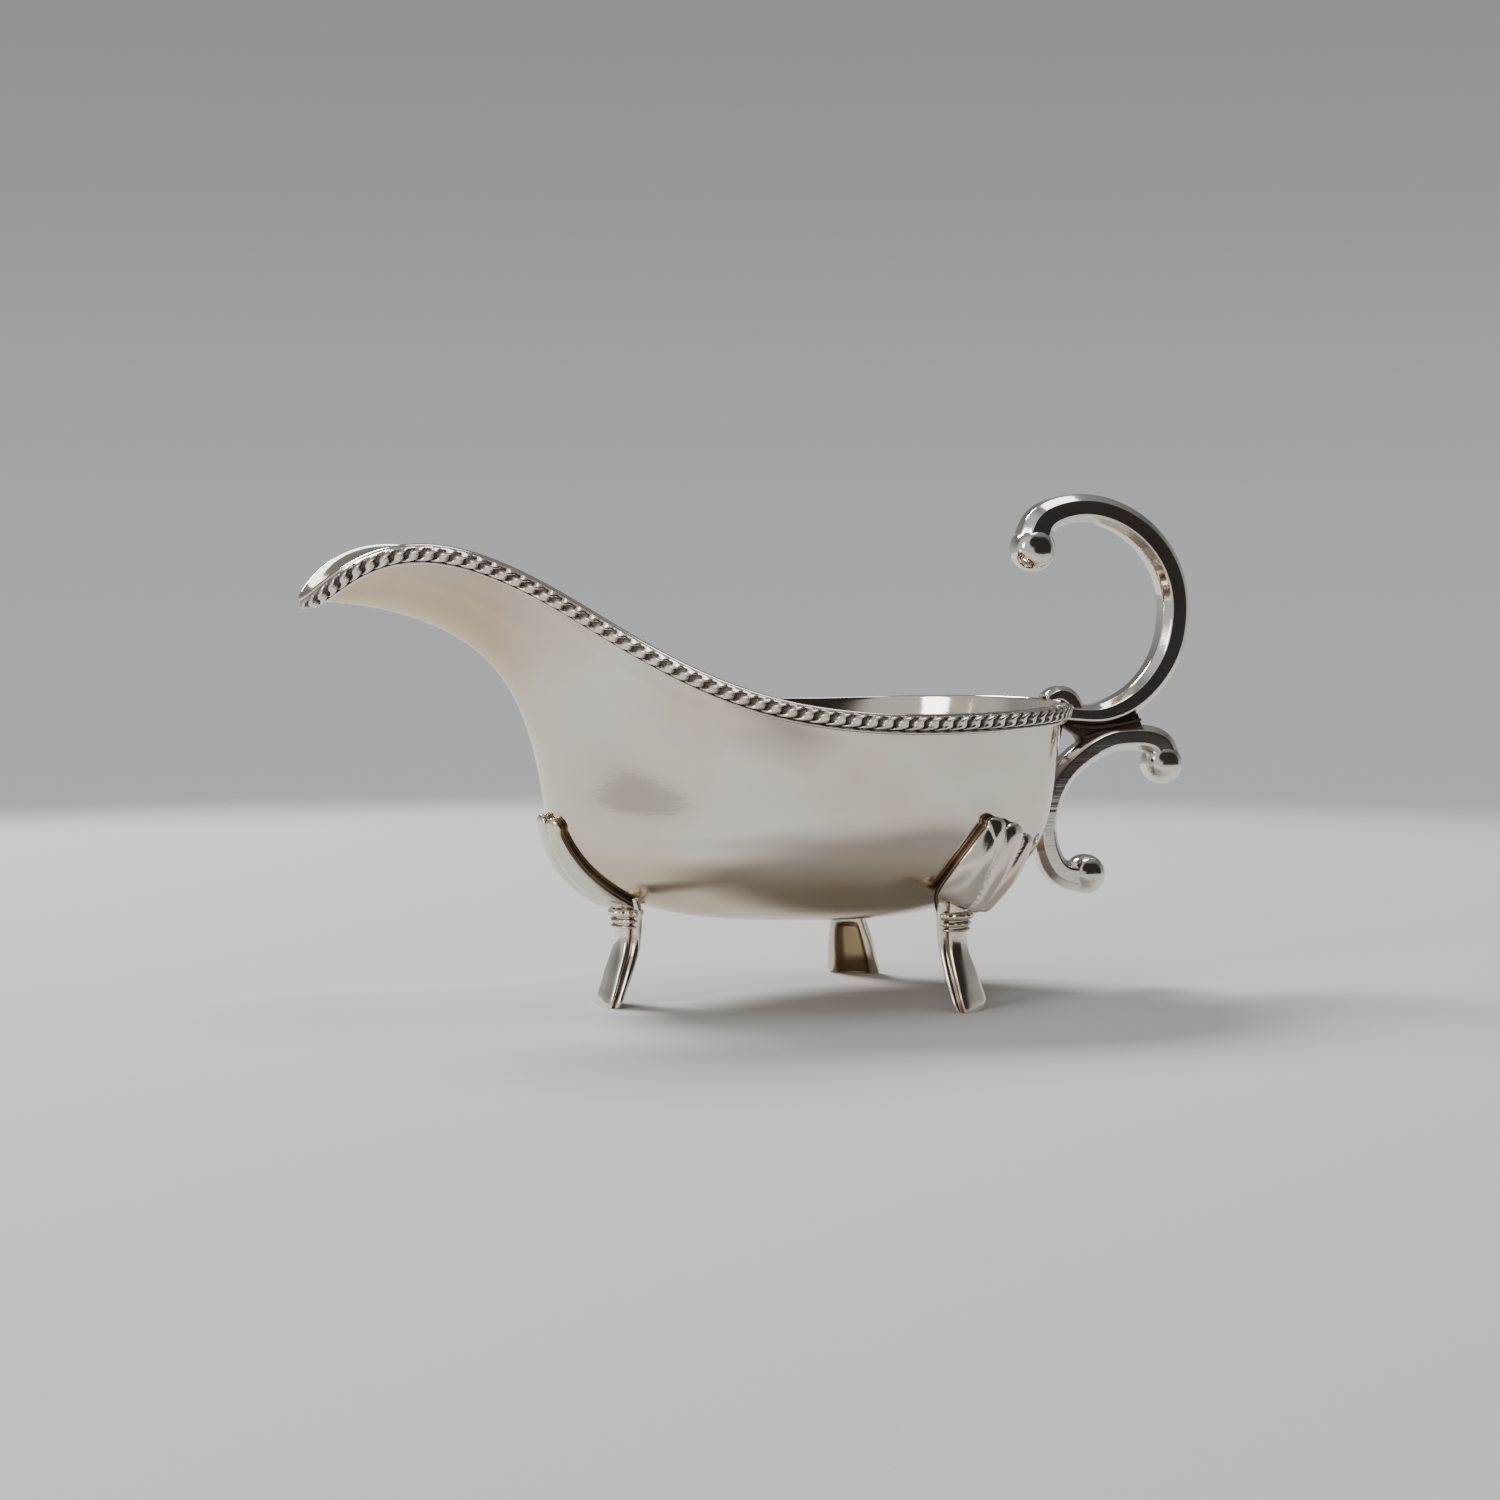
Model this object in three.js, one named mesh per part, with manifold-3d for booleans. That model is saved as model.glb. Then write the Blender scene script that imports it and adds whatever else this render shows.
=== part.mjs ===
// Three-legged silver sauce boat: a raised bowl with a long spout, a cast gadroon border in
// two halves, a double scroll handle in two castings, and three cast legs with shell knees.
// Millimetres. +Z is up, +X points to the handle, -X to the spout, and the boat is symmetric
// about the XZ plane. The origin is on the ground, at the centre of the bounding box.
import * as THREE from 'three';
import { mergeVertices } from 'three/addons/utils/BufferGeometryUtils.js';
import Module from 'manifold-3d';

const wasm = await Module();
wasm.setup();

// ---- driving dimensions -------------------------------------------------------------------
const sheetThickness = 1.0;
const solderGap = 0.3;

const borderWidth = 4.0;
const borderThickness = 1.8;
const borderSteps = 60;
const borderStart = 0.011;
const borderEnd = 0.4985;

const handleHalfWidth = 3.6;
const webHalfWidth = 2.4;

// Legs: root on the floor plan, the way the shin and the knee shell face (degrees from +X), the
// sideways lean and width of the shell, where its middle meets the wall, its height scale, the
// relief of its lobes, the swell over its root, and the height where the shin ends inside it.
const frontLeg = { x: -31.3, y: 0, shin: 180, knee: 180, lean: 0, width: 0.62, middle: 0,
  height: 1.24, relief: 1.2, swell: 0.3, top: 22.5 };
const rearLeg = { x: 31.4, y: -29.8, shin: -50, knee: -62, lean: 21, width: 1, middle: 4,
  height: 0.98, relief: 2.9, swell: 2.8, top: 24.6 };

// Knee shell, flattened: half outline [half width, way up], then the tips of its three lobes.
const kneeBase = 19.8;
const kneeBack = -2.2;
const kneeCentre = 11.5;
const kneeEdge = 1.8;
const kneeSide = [[0, -2], [2.6, -1.3], [5, 1.4], [7, 5], [8.6, 9], [9.3, 12.5], [9.3, 16], [8.9, 19.2],
  [8.3, 21.6]];
const sideTip = { across: 6, up: 22, half: 2.75 };
const middleTip = { across: 0, up: 22.6, half: 3.1 };
const tipRise = 2.1;

const aroundSteps = 56;
const upSteps = 22;

// Half outlines of the bowl's outer face, from the back to the spout, lowest first and rim last.
// Columns: back, rear quarter, side, fore side, haunch, neck, lip side, lip corner, tip.
const bowlBottom = [12, 0, 16.8];
const bowlLevels = [
  [[32, 0, 17.8], [27.5, 8, 17.7], [16.5, 11.6, 17.6], [6, 10, 17.6], [-1, 7, 17.6],
    [-6.5, 4.5, 17.7], [-10.5, 2.6, 17.8], [-12.6, 1.3, 17.9], [-13.2, 0, 17.9]],
  [[48.5, 0, 21.8], [39.5, 16.8, 21.5], [18, 23.8, 21.2], [0, 20, 21.2], [-12, 13.6, 21.2],
    [-21, 9, 21.6], [-27.5, 5.6, 22], [-31, 2.9, 22.4], [-32, 0, 22.5]],
  [[58, 0, 27.6], [46.7, 22.8, 27.4], [19, 32.6, 27], [-4, 27, 26.8], [-20, 18, 27],
    [-30.5, 12, 27.6], [-37.5, 8, 28.2], [-41.5, 4.2, 28.8], [-43, 0, 29.1]],
  [[62.8, 0, 35], [50.6, 26, 35], [19.5, 37.4, 34.2], [-6.5, 31, 34], [-25, 20, 34.8],
    [-36.5, 13, 36], [-43, 8.6, 37], [-47, 4.5, 37.8], [-48.1, 0, 38.2]],
  [[64.7, 0, 42.5], [52.2, 27.3, 42.5], [20, 39.6, 41.5], [-7, 32.5, 42], [-27, 19.5, 44.3],
    [-38.5, 12.2, 46.8], [-45, 8, 48.5], [-49.2, 4.4, 49.6], [-50.6, 0, 50.2]],
  [[65.6, 0, 49], [53, 28, 49], [20.5, 40.7, 48], [-7.5, 33, 49.5], [-29, 18.8, 54.5],
    [-42, 11.2, 59.5], [-49.5, 7.6, 63], [-54, 4.2, 65.3], [-56, 0, 65.5]],
  [[66.3, 0, 54.5], [53.6, 28.6, 54.5], [21, 41.4, 53.5], [-9, 34, 56.5], [-32, 19.8, 64.5],
    [-47.5, 12.4, 72.5], [-58.5, 9, 77.4], [-64.5, 5.2, 78], [-67, 0, 77.4]],
  [[66.9, 0, 59], [54.1, 29.1, 59], [21.5, 42, 58], [-11, 35.4, 61.8], [-35.5, 22.2, 72.5],
    [-54.5, 14.4, 84.6], [-70.5, 12.4, 89.2], [-82.5, 8.2, 87.4], [-87, 0, 84.7]],
  [[67.5, 0, 63.2], [54.6, 29.6, 63], [22, 42.5, 62.4], [-12, 36.6, 66.2], [-38, 24.6, 78.5],
    [-60, 16.9, 91.9], [-80, 14.7, 97.3], [-95, 9.6, 92.4], [-101.5, 0, 86]],
];

// Handle lines in the XZ plane: [x, z, half height of the bar].
const upperScrollLine = [[63.6, 98.8, 4.2], [64.9, 102.3, 3.7], [70.4, 105.4, 3.2], [77.2, 105.9, 3.1],
  [86.6, 102.8, 3.2], [93.7, 96.7, 3.3], [97.7, 88.5, 3.3], [97.9, 79.1, 3.3], [96.1, 72.8, 3.2],
  [92.7, 67.6, 3], [88.4, 63.6, 2.9], [83.8, 61.1, 2.8], [78.6, 59.8, 2.4], [74, 59.9, 2.2],
  [66.5, 60.4, 2.2]];
const upperKnob = { x: 63.4, z: 96.8, radius: 5 };
const capLine = [[78, 59.2, 1.5], [75.4, 61, 1.9], [73.9, 63, 2.1], [71.6, 64.3, 2.2], [69, 64.3, 1.9],
  [66.4, 63.4, 1.2]];
const lowerScrollLine = [[95.4, 49.6, 4], [94.6, 52.4, 3.4], [91.6, 54.2, 3], [87.5, 54.6, 2.9],
  [82.2, 54.2, 2.9], [75.8, 51.2, 2.8], [70.2, 46.4, 2.7], [67.2, 40.6, 2.7], [66, 35, 2.7],
  [66.8, 29.6, 2.8], [69.6, 25.2, 2.9], [75, 23.8, 3.6]];
const lowerKnobs = [{ x: 95.3, z: 48.6, radius: 4.6 }, { x: 76.2, z: 24.3, radius: 4.4 }];
const webOutline = [[71, 58.4], [74.6, 54.4], [76, 51], [84, 54], [90, 56], [88.5, 60], [79, 58.5]];

// Shin in its own frame: +X points away from the bowl. [x, z, half thickness, half width].
const shinLine = [[1.6, 24.5, 2.4, 3.6], [0.7, 21.5, 2.6, 3.9], [0.1, 18.8, 2.6, 4], [0.1, 15.5, 2.4, 3.9],
  [0.4, 12.6, 2.3, 4.1], [1.3, 9.8, 2.2, 4.8], [2.5, 6.6, 2.1, 5.5], [3.6, 3.4, 2, 5.9],
  [4.5, 0.8, 1.9, 6], [5, -2, 1.9, 6]];
// Hollow in the back of the shin: how far behind its line, its arched top, and its wall.
const hollowBehind = 2;
const hollowTop = 13;
const hollowWall = 1.3;
// Rings around the top of the shin: [z, radius, half height].
const collars = [[19.7, 4.5, 0.95], [18, 4.1, 0.6], [16.8, 3.9, 0.4]];

// ---- mesh helpers ---------------------------------------------------------------------------
const upAxis = new THREE.Vector3(0, 0, 1);

function geometryFrom(points, triangles) {
  const geometry = new THREE.BufferGeometry();
  geometry.setAttribute('position', new THREE.Float32BufferAttribute(points.flat(), 3));
  geometry.setIndex(triangles);
  return geometry;
}

function toSolid(geometry) {
  const bare = geometry.clone();
  bare.deleteAttribute('normal');
  bare.deleteAttribute('uv');
  const merged = mergeVertices(bare, 1e-4);
  return new wasm.Manifold(new wasm.Mesh({
    numProp: 3,
    vertProperties: new Float32Array(merged.attributes.position.array),
    triVerts: new Uint32Array(merged.index.array),
  }));
}

function toGeometry(solid) {
  const mesh = solid.getMesh();
  const geometry = new THREE.BufferGeometry();
  geometry.setAttribute('position', new THREE.Float32BufferAttribute(mesh.vertProperties, 3));
  geometry.setIndex(Array.from(mesh.triVerts));
  return geometry;
}

// Closes a stack of equal point loops into one body: a fan on each end, quads between loops.
function stackLoops(loops, startPoint, endPoint) {
  const count = loops[0].length;
  const points = loops.flat().map((p) => p.toArray());
  const triangles = [];
  for (let row = 0; row + 1 < loops.length; row += 1) {
    for (let k = 0; k < count; k += 1) {
      const a = row * count + k;
      const b = row * count + (k + 1) % count;
      triangles.push(a, b, b + count, a, b + count, a + count);
    }
  }
  const start = points.length;
  points.push(startPoint.toArray(), endPoint.toArray());
  const lastRow = (loops.length - 1) * count;
  for (let k = 0; k < count; k += 1) {
    triangles.push(start, (k + 1) % count, k);
    triangles.push(start + 1, lastRow + k, lastRow + (k + 1) % count);
  }
  return geometryFrom(points, triangles);
}

// ---- bowl surface ---------------------------------------------------------------------------
const mirrored = ([x, y, z]) => [x, -y, z];
const levelCurves = bowlLevels.map((half) => {
  const otherSide = half.slice(1, -1).reverse().map(mirrored);
  const loop = [...half, ...otherSide].map((p) => new THREE.Vector3(...p));
  return new THREE.CatmullRomCurve3(loop, true, 'catmullrom');
});

// The meridian at a fraction of the way round: 0 is the back, 0.5 the spout tip.
function meridianAt(around) {
  const points = levelCurves.map((curve) => curve.getPoint(around));
  return new THREE.CatmullRomCurve3([new THREE.Vector3(...bowlBottom), ...points], false, 'catmullrom');
}

function surfacePoint(around, up) {
  const wrapped = ((around % 1) + 1) % 1;
  return meridianAt(wrapped).getPoint(up);
}

// Position and outward normal of the bowl's outer face.
function surfaceFrame(around, up) {
  const step = 1e-3;
  const at = surfacePoint(around, up);
  const alongRim = surfacePoint(around + step, up).sub(surfacePoint(around - step, up));
  const upWall = surfacePoint(around, Math.min(1, up + step)).sub(surfacePoint(around, up - step));
  const normal = alongRim.clone().cross(upWall).normalize();
  return { at, normal, alongRim: alongRim.normalize(), upWall: upWall.normalize() };
}

const bowlFrames = [];
for (let row = 1; row <= upSteps; row += 1) {
  const frames = [];
  for (let k = 0; k < aroundSteps; k += 1) {
    frames.push(surfaceFrame(k / aroundSteps, row / upSteps));
  }
  bowlFrames.push(frames);
}

// Loops of the bowl's outer face moved out by an offset, with the rim carried on by rimRise.
function offsetLoops(offset, rimRise) {
  return bowlFrames.map((frames, row) => frames.map((frame) => {
    const point = frame.at.clone().addScaledVector(frame.normal, offset);
    if (row === bowlFrames.length - 1) {
      point.addScaledVector(frame.upWall, rimRise);
    }
    return point;
  }));
}

function bottomPoint(offset) {
  return new THREE.Vector3(...bowlBottom).addScaledVector(upAxis, -offset);
}

// The sheet metal bowl, or with a clearance, the space that its neighbours stay out of.
function bowlShell(clearance) {
  const outer = offsetLoops(clearance, clearance);
  const inner = offsetLoops(-sheetThickness - clearance, clearance).reverse();
  return stackLoops([...outer, ...inner], bottomPoint(clearance),
    bottomPoint(-sheetThickness - clearance));
}

function filledBowl(offset) {
  const lid = new THREE.Vector3(...bowlBottom).setZ(80);
  return stackLoops(offsetLoops(offset, 0), bottomPoint(offset), lid);
}

// ---- border ---------------------------------------------------------------------------------
// Half of the gadroon border: a strip on the outer face, just under the rim.
function borderStrip(side) {
  const profile = [[0, 0.05], [0, 0.7], [0.25, 0.94], [0.6, 1], [0.78, 0.62], [0.92, 0.6], [1, 0.45],
    [1, 0.05]];
  const loops = [];
  for (let k = 0; k <= borderSteps; k += 1) {
    const around = THREE.MathUtils.lerp(borderStart, borderEnd, k / borderSteps);
    const frame = surfaceFrame(around, 1);
    const down = frame.alongRim.clone().cross(frame.normal).normalize();
    const loop = profile.map(([across, out]) => {
      const point = frame.at.clone();
      point.addScaledVector(down, across * borderWidth);
      point.addScaledVector(frame.normal, solderGap + out * borderThickness);
      point.y *= side;
      return point;
    });
    loops.push(side > 0 ? loop : loop.reverse());
  }
  const middle = (loop) => loop.reduce((sum, p) => sum.add(p), new THREE.Vector3())
    .divideScalar(loop.length);
  return stackLoops(loops, middle(loops[0]), middle(loops[borderSteps]));
}

// ---- handle ---------------------------------------------------------------------------------
// A bar with a rounded moulded section along a line in the XZ plane.
function bar(line, halfWidth, steps, clearance) {
  const sides = 12;
  const path = new THREE.CatmullRomCurve3(line.map(([x, z]) => new THREE.Vector3(x, 0, z)), false,
    'catmullrom');
  const sizes = new THREE.SplineCurve(line.map((p, k) => new THREE.Vector2(k, p[2])));
  const loops = [];
  for (let k = 0; k <= steps; k += 1) {
    const fraction = k / steps;
    const centre = path.getPoint(fraction);
    const tangent = path.getTangent(fraction);
    const outward = new THREE.Vector3(-tangent.z, 0, tangent.x);
    const halfHeight = sizes.getPoint(fraction).y + clearance;
    const loop = [];
    for (let side = 0; side < sides; side += 1) {
      const angle = -2 * Math.PI * side / sides;
      const cubes = Math.abs(Math.cos(angle)) ** 3 + Math.abs(Math.sin(angle)) ** 3;
      const squareness = 1 / Math.cbrt(cubes);
      const point = centre.clone();
      point.addScaledVector(outward, Math.cos(angle) * squareness * halfHeight);
      point.y += Math.sin(angle) * squareness * (halfWidth + clearance);
      loop.push(point);
    }
    loops.push(loop);
  }
  return stackLoops(loops, path.getPoint(0), path.getPoint(1));
}

function ball({ x, z, radius }, clearance) {
  const sphere = new THREE.SphereGeometry(radius + clearance, 14, 10);
  sphere.translate(x, 0, z);
  return sphere;
}

function upperScroll(clearance) {
  const scroll = toSolid(bar(upperScrollLine, handleHalfWidth, 54, clearance));
  const cap = toSolid(bar(capLine, handleHalfWidth * 0.75, 12, clearance));
  return scroll.add(cap).add(toSolid(ball(upperKnob, clearance)));
}

function lowerScroll() {
  let scroll = toSolid(bar(lowerScrollLine, handleHalfWidth, 44, 0));
  for (const end of lowerKnobs) {
    scroll = scroll.add(toSolid(ball(end, 0)));
  }
  const webShape = new THREE.Shape(webOutline.map(([x, z]) => new THREE.Vector2(x, z)));
  const web = new THREE.ExtrudeGeometry(webShape, { depth: 2 * webHalfWidth, bevelEnabled: false });
  web.rotateX(Math.PI / 2);
  web.translate(0, webHalfWidth, 0);
  return scroll.add(toSolid(web));
}

// ---- legs -----------------------------------------------------------------------------------
const wallSteps = 200;
const wallLevels = 60;
const wallMeridians = [];
for (let k = 0; k < wallSteps; k += 1) {
  wallMeridians.push(meridianAt(k / wallSteps).getPoints(wallLevels));
}

// Outline of the bowl's outer face at one height.
function wallOutline(z) {
  return wallMeridians.map((points) => {
    const above = Math.max(1, points.findIndex((p) => p.z >= z));
    const low = points[above - 1];
    const high = points[above];
    const share = THREE.MathUtils.clamp((z - low.z) / (high.z - low.z), 0, 1);
    return low.clone().lerp(high, share);
  });
}

function facing(degrees) {
  const angle = THREE.MathUtils.degToRad(degrees);
  const outward = new THREE.Vector3(Math.cos(angle), Math.sin(angle), 0);
  const sideways = new THREE.Vector3(-Math.sin(angle), Math.cos(angle), 0);
  return { outward, sideways };
}

function tableAt(values, place) {
  const at = THREE.MathUtils.clamp(place, 0, values.length - 1.001);
  const below = Math.floor(at);
  return THREE.MathUtils.lerp(values[below], values[below + 1], at - below);
}

// How far out of a leg's root the wall is, by height and by sideways offset.
const reachStep = 0.5;
const reachLow = 18;
const reachHigh = 46;
const reachSide = 20;

function wallReach(leg) {
  const { outward, sideways } = facing(leg.knee);
  const root = new THREE.Vector3(leg.x, leg.y, 0);
  const softness = 1.2;
  const rows = [];
  for (let z = reachLow; z <= reachHigh; z += reachStep) {
    const ring = wallOutline(z).map((p) => p.sub(root));
    const out = ring.map((p) => p.dot(outward));
    const side = ring.map((p) => p.dot(sideways));
    const row = [];
    for (let t = -reachSide; t <= reachSide; t += reachStep) {
      let reach = kneeBack;
      for (let k = 0; k < ring.length; k += 1) {
        const next = (k + 1) % ring.length;
        if ((side[k] - t) * (side[next] - t) < 0) {
          const share = (t - side[k]) / (side[next] - side[k]);
          reach = Math.max(reach, THREE.MathUtils.lerp(out[k], out[next], share));
        }
      }
      row.push(kneeBack + softness * Math.log1p(Math.exp((reach - kneeBack) / softness)));
    }
    rows.push(row);
  }
  return rows;
}

// Maps the flattened shell (u sideways, w upwards) onto the wall behind it.
function kneeSkin(leg) {
  const rows = wallReach(leg);
  const { outward, sideways } = facing(leg.knee);
  const lean = THREE.MathUtils.degToRad(leg.lean);
  const sidePlace = (t) => (t + reachSide) / reachStep;
  const heights = [kneeBase];
  const way = [0];
  for (let z = kneeBase + reachStep; z <= reachHigh; z += reachStep) {
    const here = tableAt(rows[Math.floor((z - reachLow) / reachStep)], sidePlace(leg.middle));
    const before = tableAt(rows[Math.floor((z - reachLow) / reachStep) - 1], sidePlace(leg.middle));
    heights.push(z);
    way.push(way[way.length - 1] + Math.hypot(here - before, reachStep) / leg.height);
  }
  const heightAt = (v) => {
    if (v < 0) {
      return kneeBase + v;
    }
    const above = Math.max(1, way.findIndex((length) => length >= v));
    const share = (v - way[above - 1]) / (way[above] - way[above - 1]);
    return THREE.MathUtils.lerp(heights[above - 1], heights[above], share);
  };
  const back = (u, w) => {
    const t = leg.width * u * Math.cos(lean) + w * Math.sin(lean);
    const z = heightAt(w * Math.cos(lean) - leg.width * u * Math.sin(lean));
    const atHeight = rows.map((row) => tableAt(row, sidePlace(t)));
    const reach = tableAt(atHeight, (z - reachLow) / reachStep);
    return new THREE.Vector3(leg.x, leg.y, z).addScaledVector(outward, reach).addScaledVector(sideways, t);
  };
  return (u, w, lift) => {
    const step = 0.8;
    const alongU = back(u + step, w).sub(back(u - step, w));
    const alongW = back(u, w + step).sub(back(u, w - step));
    const normal = alongU.cross(alongW).normalize();
    return back(u, w).addScaledVector(normal, lift);
  };
}

// Closed outline (u, w) of the flattened shell.
function kneeOutline() {
  const half = kneeSide.map(([u, w]) => new THREE.Vector2(u, w));
  const arcSteps = 5;
  for (const [tip, share] of [[sideTip, 1], [middleTip, 0.5]]) {
    for (let k = 1; k <= arcSteps; k += 1) {
      const angle = Math.PI * share * k / (arcSteps + (share === 1 ? 1 : 0));
      const u = tip.across + tip.half * Math.cos(angle);
      const w = tip.up + tipRise * Math.sin(angle);
      half.push(new THREE.Vector2(u, w));
    }
  }
  const otherHalf = half.slice(1, -1).reverse().map((p) => new THREE.Vector2(-p.x, p.y));
  return [...half, ...otherHalf];
}

// Thickness of the shell: three convex lobes that fade out at the tips, and a swell at the root.
const smooth = THREE.MathUtils.smoothstep;
const lobeStart = 1.5;
const lobeFull = 8.5;
const lobeFade = 14;
const lobeEnd = 23;
const tipFade = 0.4;
const valleyStart = -3;
const valleySlope = 0.151;
const narrowest = 0.3;
const swellHalfWidth = 7.2;
const swellUp = 4.5;
const swellReach = 7.5;

function kneeThickness(leg, u, w, rho) {
  const above = Math.max(1, kneeSide.findIndex(([, up]) => up >= w));
  const [lowWidth, low] = kneeSide[above - 1];
  const [highWidth, high] = kneeSide[above];
  const share = THREE.MathUtils.clamp((w - low) / (high - low), 0, 1);
  const halfWidth = w > kneeSide[kneeSide.length - 1][1] ? highWidth
    : THREE.MathUtils.lerp(lowWidth, highWidth, share);
  const valley = Math.max(narrowest, Math.min((w - valleyStart) * valleySlope, halfWidth * 0.45));
  const outerHalf = Math.max(narrowest, (halfWidth - valley) / 2);
  const inner = Math.abs(u) / valley;
  const outer = Math.abs(Math.abs(u) - (halfWidth + valley) / 2) / outerHalf;
  const crest = Math.sqrt(Math.max(0, 1 - (inner < 1 ? inner : outer) ** 2));
  const fade = 1 - tipFade * smooth(w, lobeFade, lobeEnd);
  const relief = leg.relief * crest * smooth(w, lobeStart, lobeFull) * fade;
  const round = Math.sqrt(Math.max(0, 1 - (u / swellHalfWidth) ** 2));
  const swell = leg.swell * round * Math.exp(-(((w - swellUp) / swellReach) ** 2));
  return kneeEdge + Math.sqrt(1 - rho ** 5) * (relief + swell);
}

function kneeShell(leg) {
  const skin = kneeSkin(leg);
  const outline = kneeOutline();
  const ring = (rho, liftAt) => outline.map((p) => {
    const u = p.x * rho;
    const w = kneeCentre + (p.y - kneeCentre) * rho;
    return skin(u, w, liftAt(leg, u, w, rho));
  });
  const behind = -0.5;
  const frontRings = [1, 0.97, 0.91, 0.83, 0.72, 0.6, 0.45, 0.3, 0.14];
  const backRings = [0.4, 0.75, 1];
  const loops = backRings.map((rho) => ring(rho, () => behind));
  loops.push(...frontRings.map((rho) => ring(rho, kneeThickness)));
  return toSolid(stackLoops(loops, skin(0, kneeCentre, behind),
    skin(0, kneeCentre, kneeThickness(leg, 0, kneeCentre, 0))));
}

// A bar of oval section down the shin's line, moved back and thinned for the hollow.
function shinBar(topZ, back, wall) {
  const sides = 16;
  const steps = 20;
  const line = shinLine.map(([x, z]) => new THREE.Vector3(x - back, 0, z));
  const path = new THREE.CatmullRomCurve3(line, false, 'catmullrom');
  const sizes = new THREE.CatmullRomCurve3(shinLine.map((p) => new THREE.Vector3(p[2], p[3] - wall, 0)),
    false, 'catmullrom');
  const bend = 0.6;
  const loops = [];
  for (let k = 0; k <= steps; k += 1) {
    const centre = path.getPoint(k / steps);
    if (centre.z > topZ) {
      continue;
    }
    const size = sizes.getPoint(k / steps);
    const arch = Math.sqrt(THREE.MathUtils.clamp((topZ - centre.z + 0.5) / 3, 0.05, 1));
    const narrowing = wall > 0 ? arch : 1;
    const loop = [];
    for (let side = 0; side < sides; side += 1) {
      const angle = -2 * Math.PI * side / sides;
      const across = Math.sign(Math.sin(angle)) * Math.abs(Math.sin(angle)) ** bend;
      const through = Math.sign(Math.cos(angle)) * Math.abs(Math.cos(angle)) ** bend;
      loop.push(new THREE.Vector3(centre.x + size.x * through, size.y * narrowing * across, centre.z));
    }
    loops.push(loop);
  }
  const middle = (loop) => new THREE.Vector3((loop[0].x + loop[sides / 2].x) / 2, 0, loop[0].z);
  return toSolid(stackLoops(loops, middle(loops[0]), middle(loops[loops.length - 1])));
}

const collarDepth = 0.8;

function collar([z, radius, halfHeight]) {
  const ring = new THREE.SphereGeometry(1, 20, 8);
  ring.rotateX(Math.PI / 2);
  ring.scale(radius * collarDepth, radius, halfHeight);
  ring.translate(0, 0, z);
  return toSolid(ring);
}

const groundSlab = new THREE.BoxGeometry(400, 400, 20);
groundSlab.translate(0, 0, -10);
const ground = toSolid(groundSlab);
const bowlSpace = toSolid(bowlShell(solderGap));
const bellySpace = toSolid(filledBowl(solderGap));

function leg(place) {
  let shin = shinBar(place.top, 0, 0).subtract(shinBar(hollowTop, hollowBehind, hollowWall));
  for (const ring of collars) {
    shin = shin.add(collar(ring));
  }
  const standing = shin.rotate([0, 0, place.shin]).translate([place.x, place.y, 0]);
  return kneeShell(place).add(standing).subtract(bellySpace).subtract(ground);
}

// ---- assembly -------------------------------------------------------------------------------
const boat = new THREE.Group();
boat.name = 'sauce_boat';

function addPiece(name, geometry, color, roughness) {
  const material = new THREE.MeshStandardMaterial({ color, roughness, metalness: 1 });
  const piece = new THREE.Mesh(geometry, material);
  piece.name = name;
  boat.add(piece);
}

const upperSolid = upperScroll(0).subtract(bowlSpace);
const stripKeepOut = upperScroll(solderGap);
addPiece('bowl', bowlShell(0), 0xcfccc6, 0.16);
for (const [name, side] of [['gadroon_border_left', -1], ['gadroon_border_right', 1]]) {
  const strip = toSolid(borderStrip(side)).subtract(bowlSpace).subtract(stripKeepOut);
  addPiece(name, toGeometry(strip), 0xb9b4ab, 0.3);
}
addPiece('handle_upper_scroll', toGeometry(upperSolid), 0xc9c5be, 0.2);
const lowerSolid = lowerScroll().subtract(stripKeepOut).subtract(bowlSpace);
addPiece('handle_lower_scroll', toGeometry(lowerSolid), 0xc9c5be, 0.2);
const rearLeft = leg(rearLeg);
addPiece('front_leg', toGeometry(leg(frontLeg)), 0xc4bfb5, 0.24);
addPiece('rear_leg_left', toGeometry(rearLeft), 0xc4bfb5, 0.24);
addPiece('rear_leg_right', toGeometry(rearLeft.mirror([0, 1, 0])), 0xc4bfb5, 0.24);

const extent = new THREE.Box3().setFromObject(boat);
boat.position.x = -(extent.min.x + extent.max.x) / 2;

export default boat;
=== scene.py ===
"""Looks of the silver sauce boat: raised bowl, gadroon border, scroll handle and shell-kneed legs.

Outlines are in millimetres in the part's own frame and are turned into metres once, by MM.
"""
import math

import bmesh
import bpy
import numpy as np
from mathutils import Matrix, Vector


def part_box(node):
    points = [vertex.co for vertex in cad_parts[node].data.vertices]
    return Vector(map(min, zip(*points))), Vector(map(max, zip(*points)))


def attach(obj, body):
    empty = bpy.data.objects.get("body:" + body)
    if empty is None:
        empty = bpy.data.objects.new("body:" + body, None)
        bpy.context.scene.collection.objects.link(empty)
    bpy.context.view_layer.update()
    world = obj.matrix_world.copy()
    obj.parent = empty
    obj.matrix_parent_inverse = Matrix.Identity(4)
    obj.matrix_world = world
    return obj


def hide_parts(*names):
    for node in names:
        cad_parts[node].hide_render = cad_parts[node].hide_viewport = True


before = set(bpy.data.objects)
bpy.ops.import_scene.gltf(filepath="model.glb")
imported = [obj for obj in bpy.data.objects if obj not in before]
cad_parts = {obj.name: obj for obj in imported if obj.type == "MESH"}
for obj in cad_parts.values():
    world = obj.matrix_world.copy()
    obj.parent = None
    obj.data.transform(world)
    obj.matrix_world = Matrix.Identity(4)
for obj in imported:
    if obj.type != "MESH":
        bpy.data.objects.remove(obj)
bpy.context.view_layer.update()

MM = 0.001

# ---- driving dimensions, in millimetres ------------------------------------------------------
SHEET = 1.0
RIM_ROUND = 0.35
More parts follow.
